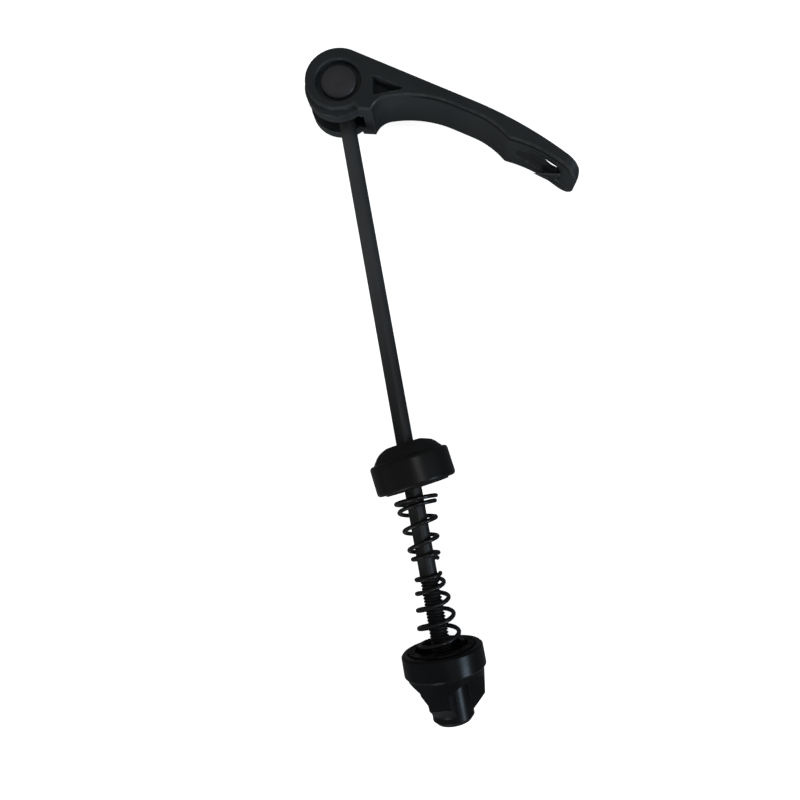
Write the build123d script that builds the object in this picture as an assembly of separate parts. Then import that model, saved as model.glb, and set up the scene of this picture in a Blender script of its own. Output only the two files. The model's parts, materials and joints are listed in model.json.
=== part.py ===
from build123d import *
import os
from math import asin, cos, pi, radians, sin, tan

# Quick release skewer with an external cam, lying on its side as it comes to rest.
# Lengths are millimetres and angles degrees.
# It is built about the lever's pivot: +Y runs along the rod to the lever, +X points to the side of
# the lever's tip and +Z runs along the pivot pin. At the end everything is moved so that the origin
# lies under the middle of the whole, on the ground.

# Rod
rod_dia = 4.8  # plain shank
thread_dia = 5.0  # outside of the M5 thread
thread_length = 34.0
rod_length = 175.6  # from the pivot to the threaded end
rod_end_chamfer = 0.6

# Pivot pin, the cross barrel that the rod is screwed into
pin_dia = 10.6
pin_recess = 0.7  # how far its ends lie below the lever's faces
pin_end_chamfer = 0.35
pin_running_gap = 0.05  # radial clearance in the lever
rod_seat_gap = 0.02  # radial clearance of the rod in the pin
rod_seat_depth = 3.4  # how far the rod's end reaches past the pin's axis

# Lever: a head with two cheeks, and a flat arm
lever_width = 15.0  # along the pin
head_dia = 19.5
head_rise = 0.7  # middle of the round head above the pivot
fork_side_gap = 0.6  # between the rod and each cheek
fork_root_gap = 2.9  # between the rod and the bridge that joins the cheeks
pin_sink_margin = 1.3  # counterbore round the pin's ends
pin_sink_depth = 1.8
cam_dia = 19.6
cam_offset = 1.15  # eccentricity
cam_direction = -110.0  # from +X, with the lever closed
cam_shoulder = 1.2  # the cam stops this far inside each outer face
arm_slope = 36.5  # the straight back falls away from +X by this
arm_back_length = 38.8  # straight part of the back, from the head
arm_length = 74.9  # from the pivot to the tip, along the straight back
tip_drop = 5.5  # the back's curve sinks by this at the tip
tip_thickness = 3.7
tip_round = 3.2  # outer edge of the tip, in side view
tip_corner_round = 5.5  # seen square to the paddle
bridge_reach = 7.9  # lower corner of the bridge, from the rod's axis
bridge_low = 11.3  # and below the pivot
bridge_root_reach = 4.2  # where the bridge meets the cheeks
bridge_root_low = 10.3
throat_reach = 15.6  # bend between the bridge and the arm, along the back
throat_thickness = 9.0
neck_thickness = 3.4  # thinnest stretch of the arm
neck_start = 34.0  # along the back, from the pivot
neck_to_knee = 11.9
knee_to_tip = 22.3  # finger stop, along the back
knee_thickness = 6.3
knee_round = 1.8
paddle_to_tip = 13.2  # middle of the hollow finger paddle
paddle_thickness = 5.9
arm_edge_chamfer = 0.4
pocket_left = 10.0  # triangular core-out in each side, from the rod's axis
pocket_left_low = 9.2  # its lower left corner
pocket_low = 7.0  # below the pivot
pocket_back_wall = 4.75
pocket_depth = 4.0
pocket_corner = 0.45
recess_start_to_tip = 18.1  # teardrop recess in the paddle's inner face, along the back
recess_start_radius = 1.4
recess_end_to_tip = 9.2
recess_end_radius = 4.2
recess_level = 4.2  # its floor, below the straight back
slot_radius = 3.9  # hole through the recess's floor, about the same middle as its end

# Collar on the lever side: end cap, cam saddle and grip ring
collar_lean = 7.2  # it hangs askew on the rod by its loose bore
collar_shift = 0.25  # and to one side
collar_bore_gap = 0.1  # least radial clearance on the rod, askew
saddle_turn = 0.0  # about the rod; at 0 the cam trough lies square to the pivot pin
cap_dia = 22.1
cap_height = 8.3
cap_edge_chamfer = 0.3
cap_web = 1.8  # wall between the spring seat and the saddle
saddle_sink = 2.2  # depth of the saddle's seat in the cap
saddle_gap = 0.05
boss_base_dia = 19.6
boss_shoulder_dia = 16.8
boss_shoulder = 1.8  # height of the bend in the boss's side
boss_top_dia = 12.8
boss_height = 3.5
trough_depth = 1.0
trough_gap = 0.1  # the trough's radius over the cam's

# Grip rings, alike on both sides
ring_inner_dia = 13.9
ring_outer_dia = 17.6
ring_thickness = 1.7
ring_proud = 0.4  # stands out of its seat
ring_seat_gap = 0.3  # open groove round the ring
ring_bore_gap = 0.05
ring_teeth = 10
tooth_depth = 0.3

# Conical springs
wire_dia = 1.15
spring_wide_dia = 12.6  # outside
spring_rod_gap = 0.08  # the narrow end just clears the rod
spring_turns = 5.0
lever_spring_length = 17.2
lever_spring_closed = 1.2  # closed turns at each end
lever_spring_growth = 0.05  # of the open turns' pitch, from the narrow end to the wide
nut_spring_length = 19.0
nut_spring_closed = 0.6
nut_spring_growth = 0.35
closed_pitch = 1.3  # of the closed turns
path_steps = 12  # short straight runs of the wire in a turn
spring_spacing = 2.6  # bare rod between the two narrow ends
spring_loose = 7.1  # between the lever spring's wide end and its seat in the collar
nut_spring_loose = 1.7  # between the nut spring's wide end and its seat in the nut
wire_sides = 6  # flats of the wire

# Nut
nut_grip = 15.7  # length of the rod inside the nut
nut_height = 17.6
nut_thread_gap = 0.05
flange_dia = 21.5
flange_height = 5.6
flange_edge_chamfer = 0.5
spring_seat_depth = 0.4  # below the grip ring's seat
rib_count = 3
rib_width = 6.0
rib_turn = -17.0  # front rib, from +Z towards -X
rib_base_dia = 20.2
rib_shoulder_dia = 18.0
rib_shoulder = 12.2  # below the flange's face
flute_round = 8.4  # radius of the arch over the flute between two ribs
flute_drop = 0.7  # from the flange's underside to the top of the arch
boss_end_dia = 10.8
boss_end_chamfer_top = 15.4  # where the ribs run into the boss
nut_end_chamfer = 1.0

# Sizes that follow
rod_radius = rod_dia / 2
thread_radius = thread_dia / 2
head_radius = head_dia / 2
cam_radius = cam_dia / 2
half_width = lever_width / 2
fork_width = rod_dia + 2 * fork_side_gap
fork_root = rod_radius + fork_root_gap
pin_radius = pin_dia / 2
pin_length = lever_width - 2 * pin_recess
back_height = head_radius + head_rise * cos(radians(arm_slope))  # straight back, from the pivot
spring_seat_dia = ring_inner_dia - 2 * ring_bore_gap
ring_seat_dia = ring_outer_dia + 2 * ring_seat_gap
ring_seat_depth = ring_thickness - ring_proud
nut_seat_depth = ring_seat_depth + spring_seat_depth
neck_end = arm_length - knee_to_tip - neck_to_knee
knee_place = arm_length - knee_to_tip
paddle_place = arm_length - paddle_to_tip
recess_start = arm_length - recess_start_to_tip
recess_end = arm_length - recess_end_to_tip
cap_floor = ring_proud + cap_height - saddle_sink - cap_web  # the collar's spring seat, from its face
collar_height = ring_proud + cap_height + boss_height
collar_middle = (cap_floor + collar_height) / 2  # of its bore, about which it leans

# Places along the rod, below the pivot, from the threaded end up
nut_place = rod_length - nut_grip
nut_spring_place = nut_place + nut_seat_depth - nut_spring_loose - nut_spring_length
lever_spring_place = nut_spring_place - spring_spacing
collar_place = lever_spring_place - lever_spring_length - spring_loose + cap_floor - collar_middle

over_all = 4 * (rod_length + arm_length)  # larger than the object, for cutting tools


def along_arm(reach, height):
    """Point of the lever's plane, given along the straight back and square to it."""
    turn = radians(arm_slope)
    return Vector(
        reach * cos(turn) + height * sin(turn),
        height * cos(turn) - reach * sin(turn),
    )


def turned(points):
    """Solid of revolution about +Y from (radius, height) corners."""
    return revolve(make_face(Polyline(*points, close=True)), Axis.Y)


def make_rod():
    """Plain shank with a thicker threaded end."""
    shank_end = -(rod_length - thread_length)
    rod = turned([
        (0, rod_seat_depth),
        (rod_radius, rod_seat_depth),
        (rod_radius, shank_end),
        (thread_radius, shank_end - (thread_radius - rod_radius)),
        (thread_radius, rod_end_chamfer - rod_length),
        (thread_radius - rod_end_chamfer, -rod_length),
        (0, -rod_length),
    ])
    return rod


def make_pin():
    """Cross barrel with chamfered ends and a blind hole for the rod."""
    barrel = Cylinder(pin_radius, pin_length)
    barrel = chamfer(barrel.edges().filter_by(GeomType.CIRCLE), pin_end_chamfer)
    depth = pin_radius + rod_seat_depth
    hole = Cylinder(rod_radius + rod_seat_gap, depth)
    return barrel - Pos(0, rod_seat_depth - depth / 2, 0) * Rot(90, 0, 0) * hole


def arm_outline():
    """Side view of the arm: straight back, curved tip, finger paddle, knee, thin neck and bridge."""
    back = back_height
    turn = radians(arm_slope)
    bridge_corner = Vector(bridge_reach, -bridge_low)
    bridge_root = Vector(bridge_root_reach, -bridge_root_low)
    heel = along_arm(-head_rise * sin(turn), back)
    back_end = along_arm(arm_back_length, back)
    tip = along_arm(arm_length, back - tip_drop)
    tip_inner = along_arm(arm_length, back - tip_drop - tip_thickness)
    paddle = along_arm(paddle_place, back - paddle_thickness)
    knee = along_arm(knee_place, back - knee_thickness)
    neck_out = along_arm(neck_end, back - neck_thickness)
    neck_in = along_arm(neck_start, back - neck_thickness)
    throat = along_arm(throat_reach, back - throat_thickness)
    towards_head = Vector(-cos(turn), sin(turn))
    root_arc = TangentArc(neck_in, throat, tangent=towards_head)
    edges = Curve() + [
        Line(heel, back_end),
        TangentArc(back_end, tip, tangent=(cos(turn), -sin(turn))),
        Line(tip, tip_inner),
        ThreePointArc(tip_inner, paddle, knee),
        TangentArc(neck_out, knee, tangent=towards_head * -1),
        Line(neck_out, neck_in),
        root_arc,
        TangentArc(throat, bridge_corner, tangent=root_arc % 1),
        Line(bridge_corner, bridge_root),
        Line(bridge_root, (0, 0)),
        Line((0, 0), heel),
    ]
    outline = make_face(edges)
    knee_corner = outline.vertices().sort_by_distance(knee)[0]
    return fillet(knee_corner, knee_round)


def tip_shape():
    """Tool that rounds the arm's end, seen square to the paddle."""
    start = -over_all
    plate = Pos((start + arm_length) / 2, 0) * RectangleRounded(
        arm_length - start, lever_width, tip_corner_round
    )
    return plate_along_arm(plate)


def plate_along_arm(plate):
    """Extrude a sketch drawn along the arm (X) and across it (Y) square through the arm."""
    plane = Plane(origin=(0, 0, 0), x_dir=along_arm(1, 0), z_dir=along_arm(0, 1))
    return extrude(plane * plate, over_all, both=True)


def teardrop():
    """Sketch along the arm: a round start that widens to a round end."""
    lean = asin((recess_end_radius - recess_start_radius) / (recess_end - recess_start))
    near = (recess_start - recess_start_radius * sin(lean), recess_start_radius * cos(lean))
    far = (recess_end - recess_end_radius * sin(lean), recess_end_radius * cos(lean))
    return make_face(Curve() + [
        Line(near, far),
        ThreePointArc(far, (recess_end + recess_end_radius, 0), (far[0], -far[1])),
        Line((far[0], -far[1]), (near[0], -near[1])),
        ThreePointArc((near[0], -near[1]), (recess_start - recess_start_radius, 0), near),
    ])


def slot_shape():
    """Teardrop recess in the finger paddle, and the hole through its floor."""
    below = Plane(origin=along_arm(0, back_height - recess_level), z_dir=along_arm(0, 1))
    recess = split(plate_along_arm(teardrop()), below, Keep.BOTTOM)
    return recess + plate_along_arm(Pos(recess_end, 0) * Circle(slot_radius))


def pocket_shape():
    """Triangular core-out, cut into both sides."""
    slope = tan(radians(arm_slope))
    rise = (back_height - pocket_back_wall) / cos(radians(arm_slope))
    corners = [
        (pocket_left, rise - pocket_left * slope),
        ((rise + pocket_low) / slope, -pocket_low),
        (pocket_left_low, -pocket_low),
    ]
    outline = make_face(Polyline(*corners, close=True))
    outline = fillet(outline.vertices(), pocket_corner)
    upper = Pos(0, 0, half_width - pocket_depth) * extrude(outline, over_all)
    lower = Pos(0, 0, pocket_depth - half_width) * extrude(outline, -over_all)
    return upper + lower


def make_lever():
    """Forked cam lever, cast in one piece."""
    side_view = Pos(0, head_rise) * Circle(head_radius) + arm_outline()
    body = extrude(side_view, half_width, both=True) & tip_shape()
    rims = body.faces().filter_by(Axis.Z).edges()
    body = chamfer(rims, arm_edge_chamfer)
    tip_corner = side_view.vertices().sort_by_distance(along_arm(arm_length, back_height - tip_drop))[0]
    body = body & extrude(fillet(tip_corner, tip_round), half_width, both=True)
    cam_turn = radians(cam_direction)
    cam = Pos(cam_offset * cos(cam_turn), cam_offset * sin(cam_turn), 0) * Cylinder(
        cam_radius, lever_width - 2 * cam_shoulder
    )
    body = body + cam
    fork = Pos(fork_root - over_all / 2, 0, 0) * Box(over_all, over_all, fork_width)
    hole_radius = pin_radius + pin_running_gap
    hole = Cylinder(hole_radius, over_all)
    sink = Pos(0, 0, half_width) * Cylinder(hole_radius + pin_sink_margin, 2 * pin_sink_depth)
    body = body - fork - hole - sink - mirror(sink, Plane.XY)
    return body - pocket_shape() - slot_shape()


def make_ring():
    """Grip ring: its toothed face is at height 0 and looks down -Y."""
    ring = turned([
        (ring_inner_dia / 2, 0),
        (ring_outer_dia / 2, 0),
        (ring_outer_dia / 2, ring_thickness),
        (ring_inner_dia / 2, ring_thickness),
    ])
    tooth = extrude(
        Plane.XY * make_face(Polyline(
            (-tooth_depth, 0), (tooth_depth, 0), (0, tooth_depth), close=True,
        )),
        ring_outer_dia,
    )
    return ring - [Rot(0, 360 / ring_teeth * index, 0) * tooth for index in range(ring_teeth)]


def collar_frame(part):
    """Put a collar piece, built about its own axis with its clamp face at 0, askew on the rod."""
    place = Pos(collar_shift, -collar_place, 0) * Rot(0, 0, collar_lean) * Pos(0, -collar_middle, 0)
    return place * Rot(0, saddle_turn, 0) * part


def collar_bore_radius():
    """Bore that lets the rod pass through the leaning web and saddle."""
    lean = radians(collar_lean)
    half_length = collar_height - collar_middle
    return (rod_radius + collar_shift) / cos(lean) + half_length * tan(lean) + collar_bore_gap


def make_end_cap():
    """Cup with a seat for the saddle above and for the spring and the grip ring below."""
    low = ring_proud
    top = low + cap_height
    seat = top - saddle_sink
    ring_seat = low + ring_seat_depth
    cap = turned([
        (collar_bore_radius(), seat),
        (collar_bore_radius(), cap_floor),
        (spring_seat_dia / 2, cap_floor),
        (spring_seat_dia / 2, ring_seat),
        (ring_seat_dia / 2, ring_seat),
        (ring_seat_dia / 2, low),
        (cap_dia / 2, low),
        (cap_dia / 2, top),
        (boss_base_dia / 2 + saddle_gap, top),
        (boss_base_dia / 2 + saddle_gap, seat),
    ])
    rims = cap.edges().filter_by(GeomType.CIRCLE)
    outer_rims = rims.filter_by(lambda edge: abs(edge.radius - cap_dia / 2) < saddle_gap)
    return chamfer(outer_rims, cap_edge_chamfer)


def make_saddle():
    """Cam saddle: a boss with a trough for the cam."""
    seat = ring_proud + cap_height - saddle_sink
    top = seat + saddle_sink
    saddle = turned([
        (collar_bore_radius(), seat),
        (boss_base_dia / 2, seat),
        (boss_base_dia / 2, top),
        (boss_shoulder_dia / 2, top + boss_shoulder),
        (boss_top_dia / 2, top + boss_height),
        (collar_bore_radius(), top + boss_height),
    ])
    trough_radius = cam_radius + trough_gap
    trough_axis = top + boss_height - trough_depth + trough_radius
    trough = Pos(0, trough_axis, 0) * Rot(0, 90, 0) * Cylinder(trough_radius, over_all)
    return saddle - trough


def wire_height(turn, length, closed, growth):
    """Height of the wire's axis after some turns: closed at both ends, open between them."""
    open_turns = spring_turns - 2 * closed
    open_rise = length - wire_dia - 2 * closed * closed_pitch
    opened = min(max(turn - closed, 0), open_turns)
    share = opened / open_turns
    risen = share * (2 + growth * share) / (2 + growth)
    return closed_pitch * (turn - opened) + open_rise * risen


def make_spring(length, closed, growth):
    """Conical spring from its narrow end at height 0 up +Y."""
    narrow = max(rod_dia, thread_dia) / 2 + spring_rod_gap + wire_dia / 2
    wide = (spring_wide_dia - wire_dia) / 2
    last = round(spring_turns * path_steps)
    points = []
    for step in range(last + 1):
        turn = step / path_steps
        radius = narrow + (wide - narrow) * turn / spring_turns
        angle = 2 * pi * turn
        height = wire_height(turn, length, closed, growth) + wire_dia / 2
        points.append((radius * cos(angle), radius * sin(angle), height))
    path = Polyline(*points)
    start = Plane(origin=path @ 0, z_dir=path % 0)
    wire = sweep(start * RegularPolygon(wire_dia / 2, wire_sides), path, transition=Transition.RIGHT)
    return Rot(-90, 0, 0) * wire


def make_nut():
    """Nut with a round flange, three ribs and a boss: its face is at height 0, its end down -Y."""
    boss = boss_end_dia / 2
    flange = turned([
        (0, 0),
        (flange_dia / 2, 0),
        (flange_dia / 2, -flange_height),
        (rib_base_dia / 2, -flange_height),
        (boss, -flange_height),
        (boss, -nut_height),
        (0, -nut_height),
    ])
    rims = flange.edges().filter_by(GeomType.CIRCLE)
    flange_rims = rims.filter_by(lambda edge: edge.radius > (flange_dia + rib_base_dia) / 4)
    flange = chamfer(flange_rims, flange_edge_chamfer)
    end_rim = flange.edges().filter_by(GeomType.CIRCLE).sort_by(Axis.Y)[0]
    flange = chamfer(end_rim, nut_end_chamfer)
    profile = make_face(Polyline(
        (0, -flange_height / 2),
        (rib_base_dia / 2, -flange_height / 2),
        (rib_base_dia / 2, -flange_height),
        (rib_shoulder_dia / 2, -rib_shoulder),
        (boss, -boss_end_chamfer_top),
        (0, -boss_end_chamfer_top),
        close=True,
    ))
    skirt = revolve(profile, Axis.Y)
    rib = skirt & extrude(profile, rib_width / 2, both=True)
    arch_middle = -flange_height - flute_drop - flute_round
    arch = Pos(over_all / 2, arch_middle, 0) * Rot(0, 90, 0) * Cylinder(flute_round, over_all)
    below = Pos(over_all / 2, arch_middle - over_all / 2, 0) * Box(over_all, over_all, 2 * flute_round)
    flute = Rot(0, 180 / rib_count, 0) * (arch + below)
    facing = [rib_turn - 90 + 360 / rib_count * index for index in range(rib_count)]
    webs = skirt - [Rot(0, angle, 0) * flute for angle in facing]
    nut = flange + webs + [Rot(0, angle, 0) * rib for angle in facing]
    bore = Rot(90, 0, 0) * Cylinder(thread_radius + nut_thread_gap, over_all)
    spring_seat = Cylinder(spring_seat_dia / 2, 2 * nut_seat_depth)
    ring_seat = Cylinder(ring_seat_dia / 2, 2 * ring_seat_depth)
    return nut - bore - Rot(90, 0, 0) * (spring_seat + ring_seat)


facing_lever = Rot(180, 0, 0)
pieces = {
    "skewer_rod": make_rod(),
    "pivot_pin": make_pin(),
    "lever": make_lever(),
    "end_cap": collar_frame(make_end_cap()),
    "cam_saddle": collar_frame(make_saddle()),
    "lever_grip_ring": collar_frame(make_ring()),
    "lever_spring": Pos(0, -lever_spring_place, 0) * make_spring(
        lever_spring_length, lever_spring_closed, lever_spring_growth
    ),
    "nut_spring": Pos(0, -nut_spring_place, 0) * facing_lever * make_spring(
        nut_spring_length, nut_spring_closed, nut_spring_growth
    ),
    "nut_body": Pos(0, -nut_place, 0) * make_nut(),
    "nut_grip_ring": Pos(0, ring_proud - nut_place, 0) * facing_lever * make_ring(),
}

box = Compound([solid for piece in pieces.values() for solid in piece.solids()]).bounding_box()
to_ground = Pos(-(box.min.X + box.max.X) / 2, -(box.min.Y + box.max.Y) / 2, -box.min.Z)

os.makedirs("parts", exist_ok=True)
for name, piece in pieces.items():
    export_step(to_ground * piece, f"parts/{name}.step")
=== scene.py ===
"""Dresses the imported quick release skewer: finishes, round wire springs, a cut thread and soft edges."""
import json
import logging
import math
from collections.abc import Callable
from dataclasses import dataclass
from enum import Enum
from typing import ClassVar

import bmesh
import bpy
from mathutils import Euler, Matrix, Vector


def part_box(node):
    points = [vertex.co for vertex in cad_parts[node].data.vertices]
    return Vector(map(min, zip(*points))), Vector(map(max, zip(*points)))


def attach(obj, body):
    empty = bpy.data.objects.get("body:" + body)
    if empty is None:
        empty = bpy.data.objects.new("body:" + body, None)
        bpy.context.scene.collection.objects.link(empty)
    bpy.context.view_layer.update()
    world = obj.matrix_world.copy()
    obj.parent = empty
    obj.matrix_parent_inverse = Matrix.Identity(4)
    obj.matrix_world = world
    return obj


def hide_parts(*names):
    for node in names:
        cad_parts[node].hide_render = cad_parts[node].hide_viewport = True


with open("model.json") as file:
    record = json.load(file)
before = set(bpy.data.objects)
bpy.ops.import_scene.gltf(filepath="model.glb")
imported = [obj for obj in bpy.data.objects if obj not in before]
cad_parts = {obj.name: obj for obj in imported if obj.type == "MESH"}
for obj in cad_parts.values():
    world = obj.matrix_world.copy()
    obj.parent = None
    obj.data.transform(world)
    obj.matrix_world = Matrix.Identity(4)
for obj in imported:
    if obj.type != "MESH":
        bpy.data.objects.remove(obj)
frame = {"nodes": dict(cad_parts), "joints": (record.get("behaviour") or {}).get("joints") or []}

MM = 0.001
SPUN_MERGE_MM = 0.001
Colour = tuple[float, float, float]
Place = tuple[float, float, float]
Span = tuple[float, float]
log = logging.getLogger("skewer")


class Grain(Enum):
    """What the fine relief of a surface comes from."""

    CAST = "cast skin with pits under paint"
    MOULDED = "moulded skin with a slight orange peel"
    TURNED = "tool marks round the rod's axis"
    DRAWN = "die marks along the rod"


def joint_place(name: str) -> Vector:
    """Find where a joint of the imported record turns.

    Args:
        name: The joint's name.

    Returns:
        The point on its axis, in metres.
    """
    found = next(joint for joint in frame["joints"] if joint["name"] == name)
    return Vector(found["pos_m"])


PIVOT = joint_place("lever_pivot")


class NodeBench:
    """Lays out and links the nodes of one material."""

    def __init__(self, name: str) -> None:
        """Start an empty material.

        Args:
            name: The material's name.
        """
        self.material = bpy.data.materials.new(name)
        self.material.use_nodes = True
        self.tree = self.material.node_tree
        self.tree.nodes.clear()

    def add(self, kind: str, inputs: dict | None = None, **settings) -> bpy.types.Node:
        """Add a node.

        Args:
            kind: Type of the node, without the ShaderNode in front.
            inputs: Socket names or numbers with the value or output that each takes.
            **settings: Properties of the node.

        Returns:
            The new node.
        """
        node = self.tree.nodes.new("ShaderNode" + kind)
        for key, value in settings.items():
            setattr(node, key, value)
        for socket, value in (inputs or {}).items():
            if isinstance(value, bpy.types.NodeSocket):
                self.tree.links.new(value, node.inputs[socket])
            else:
                node.inputs[socket].default_value = value
        return node

    def math(self, operation: str, *values) -> bpy.types.NodeSocket:
        """Add a Math node and return its output."""
        return self.add("Math", dict(enumerate(values)), operation=operation).outputs[0]

    def ramp(self, value: bpy.types.NodeSocket, low: float, high: float, start: float = 0.0,
             end: float = 1.0) -> bpy.types.NodeSocket:
        """Spread a value between two limits over a new range.

        Args:
            value: The value to spread.
            low: The value that gives the start.
            high: The value that gives the end.
            start: Result at the low limit.
            end: Result at the high limit.

        Returns:
            The clamped result.
        """
        inputs = {"Value": value, "From Min": low, "From Max": high, "To Min": start, "To Max": end}
        return self.add("MapRange", inputs, clamp=True).outputs[0]

    def noise(self, where: bpy.types.NodeSocket, size_mm: float, detail: float = 2.0) -> bpy.types.NodeSocket:
        """Add a noise whose blots are about a size in millimetres.

        Args:
            where: Coordinates in metres.
            size_mm: Size of a blot.
            detail: Finer octaves.

        Returns:
            The noise, about 0.3 to 0.7.
        """
        inputs = {"Vector": where, "Scale": 1 / (size_mm * MM), "Detail": detail}
        return self.add("TexNoise", inputs).outputs["Fac"]

    def mix(self, share: bpy.types.NodeSocket, first: Colour | bpy.types.NodeSocket,
            second: Colour) -> bpy.types.NodeSocket:
        """Blend two colours.

        Args:
            share: How much of the second shows.
            first: The ground colour.
            second: The colour laid over it.

        Returns:
            The blended colour.
        """
        node = self.add("Mix", data_type="RGBA")
        self.tree.links.new(share, node.inputs["Factor"])
        for socket, value in ((node.inputs[6], first), (node.inputs[7], second)):
            if isinstance(value, bpy.types.NodeSocket):
                self.tree.links.new(value, socket)
            else:
                socket.default_value = (*value, 1.0)
        return node.outputs[2]

    def surface(self, inputs: dict) -> bpy.types.Material:
        """Close the material with its shader.

        Args:
            inputs: Socket names of the shader with the value or output that each takes.

        Returns:
            The finished material.
        """
        shader = self.add("BsdfPrincipled", inputs)
        self.add("OutputMaterial", {"Surface": shader.outputs[0]})
        return self.material


@dataclass(frozen=True)
class Finish:
    """A surface finish, with its tone, gloss and relief."""

    cloud_mm: ClassVar[float] = 9.0  # dusty clouds
    cloud_limits: ClassVar[Span] = (0.38, 0.66)
    deep_blot_mm: ClassVar[float] = 5.0  # blots of the deep colour
    deep_limits: ClassVar[Span] = (0.5, 0.6)
    # Lighter edges: wear from hands and wheels together with a painted highlight along the edges.
    rub_sheen_radius_mm: ClassVar[float] = 0.5  # rounding that the rubbed edges are found with
    rub_sheen_limits: ClassVar[Span] = (0.985, 0.9)  # agreement of the rounded and the plain normal
    rub_sheen_blot_mm: ClassVar[float] = 2.2  # blots that the rubbing comes in
    rub_sheen_blot_limits: ClassVar[Span] = (0.42, 0.62)
    pit_spacing: ClassVar[float] = 3.0  # in grains
    pit_limits: ClassVar[Span] = (0.08, 0.3)
    die_stretch: ClassVar[float] = 0.03  # draws marks out along the rod
    turning_feed: ClassVar[float] = 0.02  # leans marks round the rod
    relief_in_gloss: ClassVar[float] = 0.6

    name: str
    colour: Colour
    dusty: Colour
    # Lighter edge colour: wear together with a painted highlight.
    rubbed_and_sheen: Colour
    roughness: float
    swing: float
    specular: float
    grain: Grain
    grain_mm: float
    relief_mm: float
    rub_sheen_share: float
    deep: Colour | None = None

    def where(self, bench: NodeBench) -> bpy.types.NodeSocket:
        """Coordinates that the relief follows.

        Args:
            bench: The material's bench.

        Returns:
            Object coordinates, rearranged for marks that run along or round the rod.
        """
        plain = bench.add("TexCoord").outputs["Object"]
        if self.grain is Grain.DRAWN:
            return bench.add("Mapping", {"Vector": plain, "Scale": (1.0, self.die_stretch, 1.0)}).outputs[0]
        if self.grain is Grain.TURNED:
            centred = bench.add("VectorMath", {0: plain, 1: PIVOT}, operation="SUBTRACT").outputs[0]
            parts = bench.add("SeparateXYZ", {0: centred})
            across = {"X": parts.outputs["X"], "Z": parts.outputs["Z"]}
            spoke = bench.add("CombineXYZ", across).outputs[0]
            radius = bench.add("VectorMath", {0: spoke}, operation="LENGTH").outputs["Value"]
            along = bench.math("MULTIPLY_ADD", parts.outputs["X"], self.turning_feed, parts.outputs["Y"])
            return bench.add("CombineXYZ", {"X": radius, "Y": along}).outputs[0]
        return plain

    def height(self, bench: NodeBench, where: bpy.types.NodeSocket) -> bpy.types.NodeSocket:
        """Relief of the surface.

        Args:
            bench: The material's bench.
            where: Coordinates from the where method.

        Returns:
            Height from 0 to 1.
        """
        fine = bench.noise(where, self.grain_mm)
        if self.grain is Grain.CAST:
            inputs = {"Vector": where, "Scale": 1 / (self.pit_spacing * self.grain_mm * MM)}
            cells = bench.add("TexVoronoi", inputs).outputs["Distance"]
            pits = bench.ramp(cells, *self.pit_limits)
            return bench.math("MULTIPLY", fine, pits)
        return fine

    def rub_and_sheen(self, bench: NodeBench, where: bpy.types.NodeSocket) -> bpy.types.NodeSocket:
        """Where the edges are lighter: wear from hands and wheels together with a painted highlight along
        them.

        Args:
            bench: The material's bench.
            where: Object coordinates.

        Returns:
            Share of the lighter edge colour, wear and painted highlight together.
        """
        softened = bench.add("Bevel", {"Radius": self.rub_sheen_radius_mm * MM}, samples=6).outputs[0]
        flat = bench.add("NewGeometry").outputs["Normal"]
        agree = bench.add("VectorMath", {0: softened, 1: flat}, operation="DOT_PRODUCT").outputs["Value"]
        edge = bench.ramp(agree, *self.rub_sheen_limits)
        blots = bench.ramp(bench.noise(where, self.rub_sheen_blot_mm, 4.0), *self.rub_sheen_blot_limits)
        return bench.math("MULTIPLY", bench.math("MULTIPLY", edge, blots), self.rub_sheen_share)

    def depth(self, bench: NodeBench, where: bpy.types.NodeSocket) -> bpy.types.NodeSocket:
        """Where the deep colour shows.

        Args:
            bench: The material's bench.
            where: Object coordinates.

        Returns:
            Its share, in blots unless a finish knows better.
        """
        return bench.ramp(bench.noise(where, self.deep_blot_mm), *self.deep_limits)

    def material(self) -> bpy.types.Material:
        """Build the material, or give back the one already built.

        Returns:
            The procedural material.
        """
        if self.name in bpy.data.materials:
            return bpy.data.materials[self.name]
        bench = NodeBench(self.name)
        where = self.where(bench)
        plain = bench.add("TexCoord").outputs["Object"]
        height = self.height(bench, where)
        cloud = bench.ramp(bench.noise(plain, self.cloud_mm, 4.0), *self.cloud_limits)
        ground = bench.mix(cloud, self.colour, self.dusty)
        if self.deep:
            ground = bench.mix(self.depth(bench, plain), ground, self.deep)
        # Edges take the lighter edge colour: wear and a painted highlight.
        colour = bench.mix(self.rub_and_sheen(bench, plain), ground, self.rubbed_and_sheen)
        relief = bench.math("SUBTRACT", height, 0.5)
        gloss = bench.math("MULTIPLY_ADD", relief, self.relief_in_gloss, cloud)
        rough = bench.ramp(gloss, 0.0, 1.0, self.roughness - self.swing, self.roughness + self.swing)
        bump = bench.add("Bump", {"Height": height, "Distance": self.relief_mm * MM, "Strength": 1.0})
        return bench.surface({
            "Base Color": colour,
            "Roughness": rough,
            "Normal": bump.outputs[0],
            "Specular IOR Level": self.specular,
        })


@dataclass(frozen=True)
class DrawnFinish(Finish):
    """Finish of a drawn rod, with painted shade at its ends: inside the fork and toward the thread."""

    # Painted shade where the rod runs into the fork.
    fork_shade_mm: Span = (-16.0, -12.0)
    # Painted shade toward the thread, where the rod reflects less light.
    thread_shade_mm: Span = (-58.0, -90.0)

    def depth(self, bench: NodeBench, where: bpy.types.NodeSocket) -> bpy.types.NodeSocket:
        """Where along the rod the painted shade lies.

        Args:
            bench: The material's bench.
            where: Object coordinates.

        Returns:
            Share of the deep colour, the painted shade.
        """
        along = bench.add("SeparateXYZ", {0: where}).outputs["Y"]
        ends = [[PIVOT.y + place * MM for place in pair] for pair in (self.fork_shade_mm, self.thread_shade_mm)]
        return bench.math("MAXIMUM", *(bench.ramp(along, *pair) for pair in ends))


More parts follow.
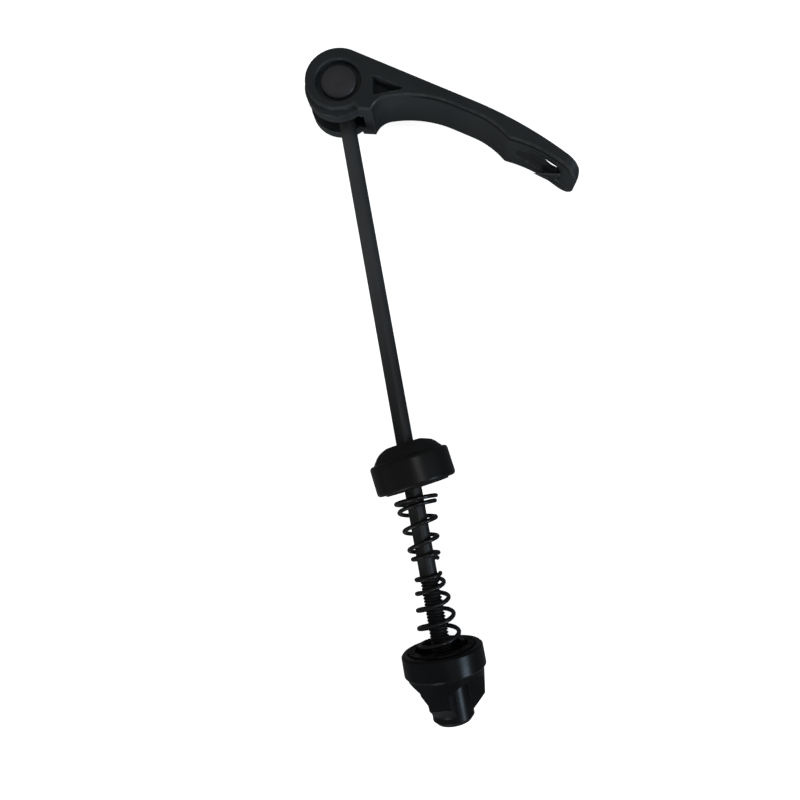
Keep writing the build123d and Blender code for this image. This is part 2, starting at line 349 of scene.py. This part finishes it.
@dataclass(frozen=True)
class CastFinish(Finish):
    """Finish of the casting, with a painted shadow line under the lip of the arm's inner face."""

    lip_shadow_mm: float = 6.35
    lip_shadow_half_mm: float = 0.65
    lip_shadow_from_mm: Span = (19.0, 24.0)
    inwards: Place = (-0.595, -0.804, 0.0)
    facing_limits: Span = (0.3, 0.5)

    def depth(self, bench: NodeBench, where: bpy.types.NodeSocket) -> bpy.types.NodeSocket:
        """Where the painted shadow line under the lip runs.

        Args:
            bench: The material's bench.
            where: Object coordinates.

        Returns:
            Share of the deep colour, the painted shadow.
        """
        place = bench.add("SeparateXYZ", {0: where})
        across = bench.math("SUBTRACT", place.outputs["Z"], PIVOT.z)
        beside = bench.math("ABSOLUTE", bench.math("SUBTRACT", across, self.lip_shadow_mm * MM))
        # Painted shadow: a band along the lip on the upper side.
        line = bench.ramp(beside, self.lip_shadow_half_mm * MM, 0.5 * self.lip_shadow_half_mm * MM)
        normal = bench.add("NewGeometry").outputs["True Normal"]
        turned = bench.add("VectorMath", {0: normal, 1: self.inwards}, operation="DOT_PRODUCT")
        facing = bench.ramp(turned.outputs["Value"], *self.facing_limits)
        reach = bench.ramp(place.outputs["X"], *(PIVOT.x + start * MM for start in self.lip_shadow_from_mm))
        return bench.math("MULTIPLY", bench.math("MULTIPLY", line, facing), reach)


# The cast coat's deep colour is a painted shadow line under the lip of the arm's inner face.
CAST_BLACK = CastFinish(
    "cast_coat",
    colour=(0.0134, 0.0162, 0.0182), dusty=(0.0172, 0.0200, 0.0222), rubbed_and_sheen=(0.082, 0.085, 0.088),
    roughness=0.44, swing=0.08, specular=0.30, grain=Grain.CAST, grain_mm=0.28, relief_mm=0.014,
    rub_sheen_share=0.6, deep=(0.0022, 0.0026, 0.0030),
)
# Darker coat for the pockets and the paddle's recess: painted shade in the hollows.
POCKET_SHADE = Finish(
    "pocket_shade_coat",
    colour=(0.0110, 0.0128, 0.0138), dusty=(0.0130, 0.0148, 0.0158), rubbed_and_sheen=(0.014, 0.014, 0.015),
    roughness=0.60, swing=0.08, specular=0.14, grain=Grain.CAST, grain_mm=0.28, relief_mm=0.014,
    rub_sheen_share=0.2,
)
PIN_BLACK = Finish(
    "pin_coat",
    colour=(0.0268, 0.0262, 0.0296), dusty=(0.0360, 0.0352, 0.0394), rubbed_and_sheen=(0.09, 0.088, 0.09),
    roughness=0.42, swing=0.08, specular=0.32, grain=Grain.MOULDED, grain_mm=0.5, relief_mm=0.012,
    rub_sheen_share=0.5,
)
# The rod's deep colour is painted shade: where the rod enters the fork and toward the thread.
ROD_BLACK = DrawnFinish(
    "rod_coat",
    colour=(0.0352, 0.0371, 0.0387), dusty=(0.0412, 0.0431, 0.0447), rubbed_and_sheen=(0.08, 0.08, 0.083),
    roughness=0.44, swing=0.08, specular=0.28, grain=Grain.DRAWN, grain_mm=0.22, relief_mm=0.005,
    rub_sheen_share=0.4, deep=(0.0150, 0.0156, 0.0162),
)
# Darker than the rod's coat: painted shade that carries the rod's darkening on down the thread.
THREAD_SHADE_BLACK = Finish(
    "thread_shade_coat",
    colour=(0.0140, 0.0145, 0.0160), dusty=(0.0180, 0.0185, 0.0200), rubbed_and_sheen=(0.03, 0.03, 0.032),
    roughness=0.46, swing=0.08, specular=0.20, grain=Grain.TURNED, grain_mm=0.22, relief_mm=0.004,
    rub_sheen_share=0.3,
)
CAP_BLACK = Finish(
    "cap_coat",
    colour=(0.0040, 0.0040, 0.0042), dusty=(0.0054, 0.0054, 0.0056), rubbed_and_sheen=(0.030, 0.030, 0.030),
    roughness=0.30, swing=0.05, specular=0.215, grain=Grain.TURNED, grain_mm=0.30, relief_mm=0.002,
    rub_sheen_share=0.5,
)
SADDLE_BLACK = Finish(
    "saddle_coat",
    colour=(0.0085, 0.0085, 0.0095), dusty=(0.0110, 0.0110, 0.0120), rubbed_and_sheen=(0.030, 0.030, 0.032),
    roughness=0.50, swing=0.08, specular=0.20, grain=Grain.MOULDED, grain_mm=0.35, relief_mm=0.008,
    rub_sheen_share=0.4,
)
RING_BLACK = Finish(
    "ring_coat",
    colour=(0.0050, 0.0050, 0.0054), dusty=(0.0068, 0.0067, 0.0068), rubbed_and_sheen=(0.03, 0.029, 0.029),
    roughness=0.46, swing=0.08, specular=0.14, grain=Grain.TURNED, grain_mm=0.25, relief_mm=0.005,
    rub_sheen_share=0.6,
)
WIRE_BLACK = Finish(
    "wire_coat",
    colour=(0.0060, 0.0060, 0.0068), dusty=(0.0080, 0.0080, 0.0088), rubbed_and_sheen=(0.03, 0.03, 0.03),
    roughness=0.24, swing=0.06, specular=0.34, grain=Grain.MOULDED, grain_mm=0.4, relief_mm=0.004,
    rub_sheen_share=0.3,
)
NUT_BLACK = Finish(
    "nut_coat",
    colour=(0.0014, 0.0018, 0.0023), dusty=(0.0020, 0.0024, 0.0030), rubbed_and_sheen=(0.014, 0.016, 0.018),
    roughness=0.30, swing=0.05, specular=0.185, grain=Grain.MOULDED, grain_mm=0.45, relief_mm=0.004,
    rub_sheen_share=0.4,
)


@dataclass(frozen=True)
class Softening:
    """How the sharp edges of a solid are rounded."""

    width_mm: float
    segments: int = 3
    sharp_deg: float = 28.0
    flat_deg: float = 0.6
    merge_mm: float = 0.002

    def copy_of(self, node: str) -> bmesh.types.BMesh:
        """Copy a CAD node's mesh and round its sharp edges.

        Args:
            node: The node's name.

        Returns:
            The merged and bevelled mesh.
        """
        bm = self.plain_copy(node)
        self.soften(bm)
        return bm

    def plain_copy(self, node: str,
                   spared: Callable[[bmesh.types.BMVert], bool] | None = None) -> bmesh.types.BMesh:
        """Copy a CAD node's mesh with its doubles merged and its flat faces joined.

        Args:
            node: The node's name.
            spared: Tells of a vertex whether the faces round it stay as they are.

        Returns:
            The merged mesh.
        """
        bm = bmesh.new()
        bm.from_mesh(frame["nodes"][node].data)
        bmesh.ops.remove_doubles(bm, verts=bm.verts, dist=self.merge_mm * MM)
        verts = [vert for vert in bm.verts if not (spared and spared(vert))]
        loose = set(verts)
        edges = [edge for edge in bm.edges if all(vert in loose for vert in edge.verts)]
        bmesh.ops.dissolve_limit(bm, angle_limit=math.radians(self.flat_deg), verts=verts, edges=edges)
        return bm

    def soften(self, bm: bmesh.types.BMesh, edges: list[bmesh.types.BMEdge] | None = None) -> None:
        """Round edges of a mesh.

        Args:
            bm: The mesh.
            edges: The edges, or None for every sharp one.
        """
        limit = math.radians(self.sharp_deg)
        chosen = bm.edges if edges is None else edges
        sharp = [edge for edge in chosen if len(edge.link_faces) == 2 and edge.calc_face_angle() > limit]
        bmesh.ops.bevel(bm, geom=sharp, offset=self.width_mm * MM, offset_type="OFFSET", affect="EDGES",
                        segments=self.segments, profile=0.5, material=-1, clamp_overlap=True)


def placed(name: str, bm: bmesh.types.BMesh) -> bpy.types.Object:
    """Put a finished bmesh in the scene.

    Args:
        name: The object's name.
        bm: Its mesh, in place.

    Returns:
        The new object.
    """
    mesh = bpy.data.meshes.new(name)
    bm.to_mesh(mesh)
    bm.free()
    piece = bpy.data.objects.new(name, mesh)
    bpy.context.scene.collection.objects.link(piece)
    return piece


def settle(name: str, bm: bmesh.types.BMesh, finish: Finish, body: str, node: str,
           crease_deg: float = 40.0, second: Finish | None = None) -> bpy.types.Object:
    """Turn a finished bmesh into a piece of the skewer.

    Args:
        name: The piece's name.
        bm: Its mesh, in place.
        finish: Its finish.
        body: The CAD body that it rides on.
        node: The CAD node that it stands for.
        crease_deg: Edges sharper than this stay creased.
        second: Finish of the faces with material number 1, if there are any.

    Returns:
        The new object.
    """
    piece = placed(name, bm)
    mesh = piece.data
    mesh.polygons.foreach_set("use_smooth", [True] * len(mesh.polygons))
    mesh.set_sharp_from_angle(angle=math.radians(crease_deg))
    for coat in (finish, second):
        if coat:
            mesh.materials.append(coat.material())
    weights = piece.modifiers.new("face_weights", "WEIGHTED_NORMAL")
    weights.keep_sharp = True
    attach(piece, body)
    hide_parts(node)
    log.info("%s stands for %s with %d faces", name, node, len(mesh.polygons))
    return piece


def spun(corners: list[tuple[float, float]], steps: int, closed: bool = False) -> bmesh.types.BMesh:
    """Spin an outline about the rod's axis into a closed solid.

    Args:
        corners: Radius and height along the rod from the pivot, in millimetres.
        steps: Faces round the turn.
        closed: Whether the outline is a loop, or else runs from axis to axis.

    Returns:
        The closed mesh, in place.
    """
    bm = bmesh.new()
    verts = [bm.verts.new(PIVOT + Vector((radius, height, 0)) * MM) for radius, height in corners]
    pairs = list(zip(verts, verts[1:])) + ([(verts[-1], verts[0])] if closed else [])
    edges = [bm.edges.new(pair) for pair in pairs]
    bmesh.ops.spin(bm, geom=verts + edges, cent=PIVOT, axis=(0, 1, 0), angle=2 * math.pi, steps=steps,
                   use_merge=True)
    bmesh.ops.remove_doubles(bm, verts=bm.verts, dist=SPUN_MERGE_MM * MM)
    bmesh.ops.recalc_face_normals(bm, faces=bm.faces)
    return bm


def rounded(corners: list[tuple[float, float, float]], segments: int = 6) -> list[tuple[float, float]]:
    """Round the corners of a closed outline.

    Args:
        corners: Radius, height and rounding of each corner, in millimetres.
        segments: Short straight runs in a rounded corner.

    Returns:
        The outline's points.
    """
    points = []
    for before, here, after in zip(corners[-1:] + corners[:-1], corners, corners[1:] + corners[:1]):
        middle = Vector(here[:2])
        if here[2] == 0:
            points.append(tuple(middle))
            continue
        into = (Vector(before[:2]) - middle).normalized()
        out = (Vector(after[:2]) - middle).normalized()
        reach = here[2] / math.tan(into.angle(out) / 2)
        first, last = middle + into * reach, middle + out * reach
        for step in range(segments + 1):
            share = step / segments
            point = first * (1 - share) ** 2 + middle * 2 * share * (1 - share) + last * share ** 2
            points.append(tuple(point))
    return points


@dataclass
class CamLever:
    """Cast lever with its fork and cam, and the pin that it swings on."""

    edge: Softening = Softening(0.38, 3)
    sink_rim: Softening = Softening(0.6, 4)
    pin_edge: Softening = Softening(0.35, 4)
    half_width_mm: float = 7.5
    sink_radius_mm: float = 6.65
    pocket_floor_mm: float = 3.5
    raised_floor_mm: float = 4.9
    pocket_share: float = 0.8
    pocket_corner_mm: float = 1.2
    level_slack_mm: float = 0.02
    sink_slack_mm: float = 0.05
    end_slack_mm: float = 0.01
    end_facing: float = 0.999
    dome_rings_mm: tuple[Span, ...] = ((0.9, 0.22), (1.1, 0.14), (1.3, 0.08))
    back_mm: float = 10.31
    slope_deg: float = 36.5
    paddle_from_mm: float = 50.0
    recess_reach_mm: Span = (54.8, 70.6)
    recess_half_mm: float = 4.6
    land_mm: float = -3.0

    def build(self) -> None:
        """Build and dress the lever and its pin."""
        bm = self.edge.plain_copy("lever", self.on_paddle)
        self.raise_pockets(bm)
        self.darken_recess(bm)
        self.sink_rim.soften(bm, [edge for edge in bm.edges if self.on_sink_rim(edge)])
        self.edge.soften(bm, [edge for edge in bm.edges if not all(map(self.by_recess, edge.verts))])
        # The second coat paints shade into the pockets and the recess.
        settle("lever_casting", bm, CAST_BLACK, "lever", "lever", second=POCKET_SHADE)
        pin = self.pin_edge.copy_of("pivot_pin")
        self.dome_ends(pin)
        settle("pivot_barrel", pin, PIN_BLACK, "rod", "pivot_pin")

    def on_arm(self, place: Vector) -> tuple[float, float]:
        """Measure a place along the arm and down from its straight back.

        Args:
            place: The place, in metres.

        Returns:
            Both measures in millimetres.
        """
        turn = math.radians(self.slope_deg)
        offset = (place - PIVOT) / MM
        along = offset.x * math.cos(turn) - offset.y * math.sin(turn)
        inwards = -offset.x * math.sin(turn) - offset.y * math.cos(turn)
        return along, self.back_mm + inwards

    def on_paddle(self, vert: bmesh.types.BMVert) -> bool:
        """Tell whether a vertex lies on the finger paddle, whose faces are curved."""
        return self.on_arm(vert.co)[0] > self.paddle_from_mm

    def by_recess(self, vert: bmesh.types.BMVert) -> bool:
        """Tell whether a vertex lies in the paddle's recess or hole, or on the narrow land below them."""
        below = (vert.co.z - PIVOT.z) / MM < self.land_mm
        return self.in_recess(vert) or below and self.on_arm(vert.co)[0] > self.recess_reach_mm[0]

    def in_recess(self, vert: bmesh.types.BMVert) -> bool:
        """Tell whether a vertex lies in the paddle's recess, on its rim or in the hole through its floor."""
        low, high = self.recess_reach_mm
        return (low < self.on_arm(vert.co)[0] < high
                and abs(vert.co.z - PIVOT.z) < self.recess_half_mm * MM)

    def darken_recess(self, bm: bmesh.types.BMesh) -> None:
        """Paint shade into the paddle's recess and hole with the darker pocket coat.

        Args:
            bm: The lever's mesh.
        """
        for face in bm.faces:
            if all(map(self.in_recess, face.verts)):
                face.material_index = 1

    def raise_pockets(self, bm: bmesh.types.BMesh) -> None:
        """Make the core-outs in the sides shallower, slope their upper walls and paint shade onto their
        floors.

        Vertices are picked by their height alone, so those of the paddle at the floors' height move too.

        Args:
            bm: The lever's mesh.
        """
        floor = {vert for vert in bm.verts
                 if abs(abs(vert.co.z - PIVOT.z) / MM - self.pocket_floor_mm) < self.level_slack_mm}
        reach = min(vert.co.x for vert in floor) + self.pocket_corner_mm * MM
        corner = min((vert.co for vert in floor if vert.co.x < reach), key=lambda place: place.y).copy()
        for vert in floor:
            drawn = corner + (vert.co - corner) * self.pocket_share
            raised = math.copysign(self.raised_floor_mm * MM, vert.co.z - PIVOT.z)
            vert.co = (drawn.x, drawn.y, PIVOT.z + raised)
        # The floors take material number 1, the darker pocket coat: painted shade.
        for face in bm.faces:
            if all(vert in floor for vert in face.verts):
                face.material_index = 1

    def on_sink_rim(self, edge: bmesh.types.BMEdge) -> bool:
        """Tell whether an edge lies on the rim of a counterbore round the pin."""
        return all(
            abs(abs(vert.co.z - PIVOT.z) / MM - self.half_width_mm) < self.level_slack_mm
            and abs((vert.co - PIVOT).xy.length / MM - self.sink_radius_mm) < self.sink_slack_mm
            for vert in edge.verts
        )

    def dome_ends(self, bm: bmesh.types.BMesh) -> None:
        """Swell the pin's two ends.

        Args:
            bm: The pin's mesh.
        """
        for thickness, depth in self.dome_rings_mm:
            bm.normal_update()
            reach = max(abs(vert.co.z - PIVOT.z) for vert in bm.verts)
            ends = [face for face in bm.faces if abs(face.normal.z) > self.end_facing
                    and abs(abs(face.calc_center_median().z - PIVOT.z) - reach) < self.end_slack_mm * MM]
            bmesh.ops.inset_region(bm, faces=ends, thickness=thickness * MM, depth=depth * MM,
                                   use_boundary=True, use_even_offset=True)


@dataclass
class SkewerRod:
    """Plain shank and a rolled thread, cut as a true helix."""

    pitch_mm: float = 0.8
    thread_mm: float = 34.0
    shank_mm: float = 4.8
    core_mm: float = 4.1
    chamfer_mm: float = 0.6
    undercut_mm: float = 0.35
    merge_mm: float = 0.004
    flank_shares: tuple[float, float, float] = (0.40, 0.56, 0.94)
    shank_steps: int = 48
    steps: int = 36

    def build(self) -> None:
        """Build and dress the shank and the thread."""
        low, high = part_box("skewer_rod")
        top = (high.y - PIVOT.y) / MM
        end = (low.y - PIVOT.y) / MM
        thread_dia = (high.z - low.z) / MM
        start = end + self.thread_mm
        shank = self.shank_mm / 2
        shoulder = start - self.undercut_mm
        outline = [(0, top), (shank, top), (shank, start), (self.core_mm / 2, shoulder), (0, shoulder)]
        settle("rod_shank", spun(outline, self.shank_steps), ROD_BLACK, "rod", "skewer_rod")
        thread = self.thread(start, end, thread_dia / 2)
        settle("rod_thread", thread, THREAD_SHADE_BLACK, "rod", "skewer_rod")

    def thread(self, start: float, end: float, crest: float) -> bmesh.types.BMesh:
        """Cut the helical thread.

        Args:
            start: Upper end of the thread, in millimetres from the pivot.
            end: Lower end.
            crest: Radius over the crests.

        Returns:
            The closed mesh, in place.
        """
        screw = bmesh.new()
        root = self.core_mm / 2
        pitch = self.pitch_mm
        crest_top, crest_low, flank_low = (share * pitch for share in self.flank_shares)
        rise = [(root, 0.0), (crest, crest_top), (crest, crest_low), (root, flank_low), (root, pitch)]
        over = start + pitch
        verts = [screw.verts.new(PIVOT + Vector((radius, over - drop, 0)) * MM) for radius, drop in rise]
        edges = [screw.edges.new(pair) for pair in zip(verts, verts[1:])]
        turns = round((over - end) / pitch) + 2
        bmesh.ops.spin(screw, geom=verts + edges, cent=PIVOT, axis=(0, 1, 0), angle=2 * math.pi * turns,
                       dvec=(0, -pitch * MM / self.steps, 0), steps=self.steps * turns)
        bmesh.ops.remove_doubles(screw, verts=screw.verts, dist=self.merge_mm * MM)
        for height, away in ((start, 1), (end, -1)):
            cut = bmesh.ops.bisect_plane(screw, geom=screw.verts[:] + screw.edges[:] + screw.faces[:],
                                         plane_co=PIVOT + Vector((0, height, 0)) * MM, plane_no=(0, away, 0),
                                         clear_outer=True)
            rim = [item for item in cut["geom_cut"] if isinstance(item, bmesh.types.BMEdge)]
            bmesh.ops.holes_fill(screw, edges=rim, sides=0)
        for vert in screw.verts:
            self.chamfer(vert, end, crest)
        bmesh.ops.recalc_face_normals(screw, faces=screw.faces)
        return screw

    def chamfer(self, vert: bmesh.types.BMVert, end: float, crest: float) -> None:
        """Draw a crest in near the rod's end.

        Args:
            vert: A vertex of the thread.
            end: The rod's end, in millimetres from the pivot.
            crest: Radius over the crests.
        """
        out = (vert.co - PIVOT) * Vector((1, 0, 1))
        above_end = (vert.co.y - PIVOT.y) / MM - end
        allowed = (crest - max(0.0, self.chamfer_mm - above_end)) * MM
        if out.length > allowed:
            vert.co -= out * (1 - allowed / out.length)


@dataclass
class ConicalSpring:
    """Spring of round wire: closed turns at both ends, open between them."""

    node: str
    body: str
    upwards: bool
    length_mm: float
    closed_turns: float
    growth: float
    closed_pitch: float = 1.3
    wire_mm: float = 1.15
    wide_mm: float = 12.6
    narrow_gap_mm: float = 0.08
    rod_mm: float = 5.0
    turns: float = 5.0
    sag_deg: float = 0.0
    ease_turns: float = 0.2
    slope_turns: float = 0.01
    steps: int = 40
    sides: int = 12

    def height(self, turn: float) -> float:
        """Height of the wire's axis over the narrow end.

        Args:
            turn: Turns from the narrow end.

        Returns:
            The height in millimetres.
        """
        open_turns = self.turns - 2 * self.closed_turns
        open_rise = self.length_mm - self.wire_mm - 2 * self.closed_turns * self.closed_pitch
        opened = min(max(turn - self.closed_turns, 0.0), open_turns)
        share = opened / open_turns
        risen = share * (2 + self.growth * share) / (2 + self.growth)
        return self.closed_pitch * (turn - opened) + open_rise * risen + self.wire_mm / 2

    def smooth_height(self, turn: float) -> float:
        """Height with the pitch changing gently.

        Args:
            turn: Turns from the narrow end.

        Returns:
            The mean height over a short way before and after, in millimetres.
        """
        reach = min(self.ease_turns, turn, self.turns - turn)
        samples = [self.height(turn + reach * step / 4) for step in range(-4, 5)]
        return sum(samples) / len(samples)

    def station(self, turn: float) -> Matrix:
        """Place of the wire's section.

        Args:
            turn: Turns from the narrow end.

        Returns:
            The matrix that puts a circle of the XY plane square to the wire there.
        """
        narrow = self.rod_mm / 2 + self.narrow_gap_mm + self.wire_mm / 2
        wide = (self.wide_mm - self.wire_mm) / 2
        radius = narrow + (wide - narrow) * turn / self.turns
        low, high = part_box(self.node)
        sign = 1 if self.upwards else -1
        foot = low.y if self.upwards else high.y
        origin = Vector((PIVOT.x, foot, PIVOT.z))
        turned = Matrix.Rotation(sign * 2 * math.pi * turn, 4, "Y")
        before = max(turn - self.slope_turns, 0.0)
        after = min(turn + self.slope_turns, self.turns)
        climb = (self.smooth_height(after) - self.smooth_height(before)) / (after - before)
        lead = math.atan2(climb, 2 * math.pi * radius)
        place = Matrix.Translation(Vector((radius, sign * self.smooth_height(turn), 0)) * MM)
        tilt = Matrix.Rotation(lead, 4, "X")
        sag = Matrix.Rotation(-sign * math.radians(self.sag_deg), 4, "X")
        return Matrix.Translation(origin) @ sag @ turned @ place @ tilt

    def build(self) -> None:
        """Build and dress the spring."""
        bm = bmesh.new()
        circle = bmesh.ops.create_circle(bm, cap_ends=True, radius=self.wire_mm / 2 * MM, segments=self.sides)
        ring = circle["verts"]
        here = self.station(0.0)
        bmesh.ops.transform(bm, matrix=here, verts=ring)
        edges = list({edge for vert in ring for edge in vert.link_edges})
        last = round(self.turns * self.steps)
        for step in range(1, last + 1):
            grown = bmesh.ops.extrude_edge_only(bm, edges=edges)["geom"]
            verts = [item for item in grown if isinstance(item, bmesh.types.BMVert)]
            edges = [item for item in grown if isinstance(item, bmesh.types.BMEdge)
                     and all(vert in verts for vert in item.verts)]
            there = self.station(step / self.steps)
            bmesh.ops.transform(bm, matrix=there @ here.inverted(), verts=verts)
            here = there
        bmesh.ops.edgenet_fill(bm, edges=edges)
        bmesh.ops.recalc_face_normals(bm, faces=bm.faces)
        settle(self.node + "_wire", bm, WIRE_BLACK, self.body, self.node)


@dataclass
class LeverCollar:
    """Collar on the lever side: cap, cam saddle and grip ring."""

    saddle_edge: Softening = Softening(0.35, 3)
    ring_edge: Softening = Softening(0.08, 2)
    cap_mm: float = 22.1
    cap_low_mm: float = 0.4
    cap_top_mm: float = 8.7
    seat_mm: float = 6.5
    floor_mm: float = 4.7
    ring_seat_mm: float = 1.7
    boss_mm: float = 19.7
    spring_seat_mm: float = 13.8
    ring_seat_dia_mm: float = 18.2
    middle_mm: float = 8.45
    lean_deg: float = 7.2
    shift_mm: float = 0.25
    bore_mm: float = 6.45
    rim_mm: float = 1.1
    seat_round_mm: float = 0.3
    lip_round_mm: float = 0.25
    steps: int = 96

    def build(self) -> None:
        """Build and dress the three pieces."""
        settle("collar_cap", self.cap(), CAP_BLACK, "collar", "end_cap")
        settle("collar_saddle", self.saddle_edge.copy_of("cam_saddle"), SADDLE_BLACK, "collar",
               "cam_saddle")
        settle("collar_ring", self.ring_edge.copy_of("lever_grip_ring"), RING_BLACK, "collar",
               "lever_grip_ring")

    def cap(self) -> bmesh.types.BMesh:
        """Turn the cup with its soft rims and hang it askew on the rod.

        Returns:
            The closed mesh, in place.
        """
        outer, boss = self.cap_mm / 2, self.boss_mm / 2
        spring_seat, ring_seat, bore = self.spring_seat_mm / 2, self.ring_seat_dia_mm / 2, self.bore_mm / 2
        outline = rounded([
            (bore, self.seat_mm, 0.0), (bore, self.floor_mm, 0.0),
            (spring_seat, self.floor_mm, self.seat_round_mm),
            (spring_seat, self.ring_seat_mm, 0.0), (ring_seat, self.ring_seat_mm, 0.0),
            (ring_seat, self.cap_low_mm, self.lip_round_mm), (outer, self.cap_low_mm, self.rim_mm),
            (outer, self.cap_top_mm, self.rim_mm), (boss, self.cap_top_mm, 0.0), (boss, self.seat_mm, 0.0),
        ])
        bm = spun(outline, self.steps, closed=True)
        hung = joint_place("collar_spin") - PIVOT + Vector((self.shift_mm, 0, 0)) * MM
        lean = Matrix.Rotation(math.radians(self.lean_deg), 4, "Z")
        place = (Matrix.Translation(PIVOT + hung) @ lean @ Matrix.Translation((0, -self.middle_mm * MM, 0))
                 @ Matrix.Translation(-PIVOT))
        bmesh.ops.transform(bm, matrix=place, verts=bm.verts)
        return bm


@dataclass
class RibbedNut:
    """Nut with a flange and three ribs, and its grip ring."""

    body_edge: Softening = Softening(0.4, 4)
    ring_edge: Softening = Softening(0.08, 2)

    def build(self) -> None:
        """Build and dress the nut and its ring."""
        settle("ribbed_nut", self.body_edge.copy_of("nut_body"), NUT_BLACK, "nut", "nut_body")
        settle("nut_ring", self.ring_edge.copy_of("nut_grip_ring"), RING_BLACK, "nut",
               "nut_grip_ring")


@dataclass(frozen=True)
class Lamp:
    """Soft square lamp that looks at the skewer; sizes in metres, power in watts."""

    name: str
    place: Place
    size: float
    power: float
    tint: Colour = (1.0, 1.0, 1.0)
    mirrored: bool = True

    def hang(self) -> None:
        """Add the lamp to the scene, hidden from glossy surfaces unless it is mirrored."""
        light = bpy.data.lights.new(self.name, "AREA")
        light.size = self.size
        light.energy = self.power
        light.color = self.tint
        holder = bpy.data.objects.new(self.name, light)
        holder.location = self.place
        holder.visible_glossy = self.mirrored
        holder.rotation_euler = (-Vector(self.place)).to_track_quat("-Z", "Y").to_euler()
        bpy.context.scene.collection.objects.link(holder)


WARM = (1.0, 0.98, 0.96)
DAYLIGHT = (0.62, 0.80, 1.0)


@dataclass
class Studio:
    """Pale floor, soft light and the camera of the photograph."""

    lamps: tuple[Lamp, ...] = (
        Lamp("fill_light", (-0.70, -1.38, 0.30), 0.60, 24.0, WARM, mirrored=False),
        Lamp("front_light", (-0.50, -1.48, 0.27), 0.50, 3.5, WARM),
        Lamp("window_light", (1.29, -0.55, 0.81), 0.45, 7.0, DAYLIGHT),
        Lamp("ceiling_light", (0.58, -0.03, 1.6), 0.42, 2.4),
    )
    camera_mm: Place = (10.158, -112.236, 175.951)
    camera_deg: Place = (9.309, 3.446, -10.345)
    focal_px: float = 636.8
    centre_px: Span = (406.5, 353.2)
    image_px: float = 800.0
    sensor_mm: float = 36.0
    nearest_m: float = 0.01
    fibre_mm: float = 1.2
    fibre_limits: Span = (0.3, 0.7)
    fibre_tones: Span = (0.985, 1.0)
    floor_m: float = 6.0
    floor_seen: float = 0.90
    floor_bounce: float = 0.20
    floor_glow: float = 0.78
    sky: float = 0.24

    def build(self) -> None:
        """Set the stage."""
        self.add_floor()
        self.add_sky()
        for lamp in self.lamps:
            lamp.hang()
        self.add_camera()
        bpy.context.scene.view_settings.view_transform = "Standard"

    def add_floor(self) -> None:
        """Add the floor under the skewer: white to the camera, pale grey to the skewer."""
        bm = bmesh.new()
        bmesh.ops.create_grid(bm, x_segments=4, y_segments=4, size=self.floor_m)
        floor = placed("floor", bm)
        bench = NodeBench("floor_paper")
        where = bench.add("TexCoord").outputs["Object"]
        fibres = bench.ramp(bench.noise(where, self.fibre_mm, 3.0), *self.fibre_limits)
        seen = bench.add("LightPath").outputs["Is Camera Ray"]
        tone = bench.ramp(seen, 0.0, 1.0, self.floor_bounce, self.floor_seen)
        shade = bench.math("MULTIPLY", tone, bench.ramp(fibres, 0.0, 1.0, *self.fibre_tones))
        floor.data.materials.append(bench.surface({
            "Base Color": bench.add("CombineColor", {0: shade, 1: shade, 2: shade}).outputs[0],
            "Roughness": 0.9,
            "Specular IOR Level": 0.1,
            "Emission Color": (1.0, 1.0, 1.0, 1.0),
            "Emission Strength": bench.math("MULTIPLY", seen, self.floor_glow),
        }))

    def add_sky(self) -> None:
        """Fill the room with even light."""
        world = bpy.data.worlds.new("room")
        world.use_nodes = True
        background = world.node_tree.nodes["Background"]
        background.inputs["Color"].default_value = (1.0, 1.0, 1.0, 1.0)
        background.inputs["Strength"].default_value = self.sky
        bpy.context.scene.world = world

    def add_camera(self) -> None:
        """Put the camera where the photograph was taken from."""
        lens = bpy.data.cameras.new("photo_camera")
        lens.sensor_width = self.sensor_mm
        lens.lens = self.sensor_mm * self.focal_px / self.image_px
        lens.shift_x = (self.image_px / 2 - self.centre_px[0]) / self.image_px
        lens.shift_y = (self.centre_px[1] - self.image_px / 2) / self.image_px
        lens.clip_start = self.nearest_m
        camera = bpy.data.objects.new("photo_camera", lens)
        camera.location = PIVOT + Vector(self.camera_mm) * MM
        camera.rotation_euler = Euler([math.radians(angle) for angle in self.camera_deg])
        bpy.context.scene.collection.objects.link(camera)
        bpy.context.scene.camera = camera


def main() -> None:
    """Build every sub-assembly in order."""
    logging.basicConfig(level=logging.INFO, format="%(name)s: %(message)s")
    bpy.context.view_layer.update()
    pieces = [
        SkewerRod(),
        CamLever(),
        LeverCollar(),
        ConicalSpring("lever_spring", "lever_spring", True, length_mm=17.2, closed_turns=1.2, growth=0.05,
                      sag_deg=7.0),
        ConicalSpring("nut_spring", "nut_spring", False, length_mm=19.0, closed_turns=0.6, growth=0.35),
        RibbedNut(),
        Studio(),
    ]
    for piece in pieces:
        piece.build()
        log.info("built %s", type(piece).__name__)


if __name__ == "__main__":
    main()
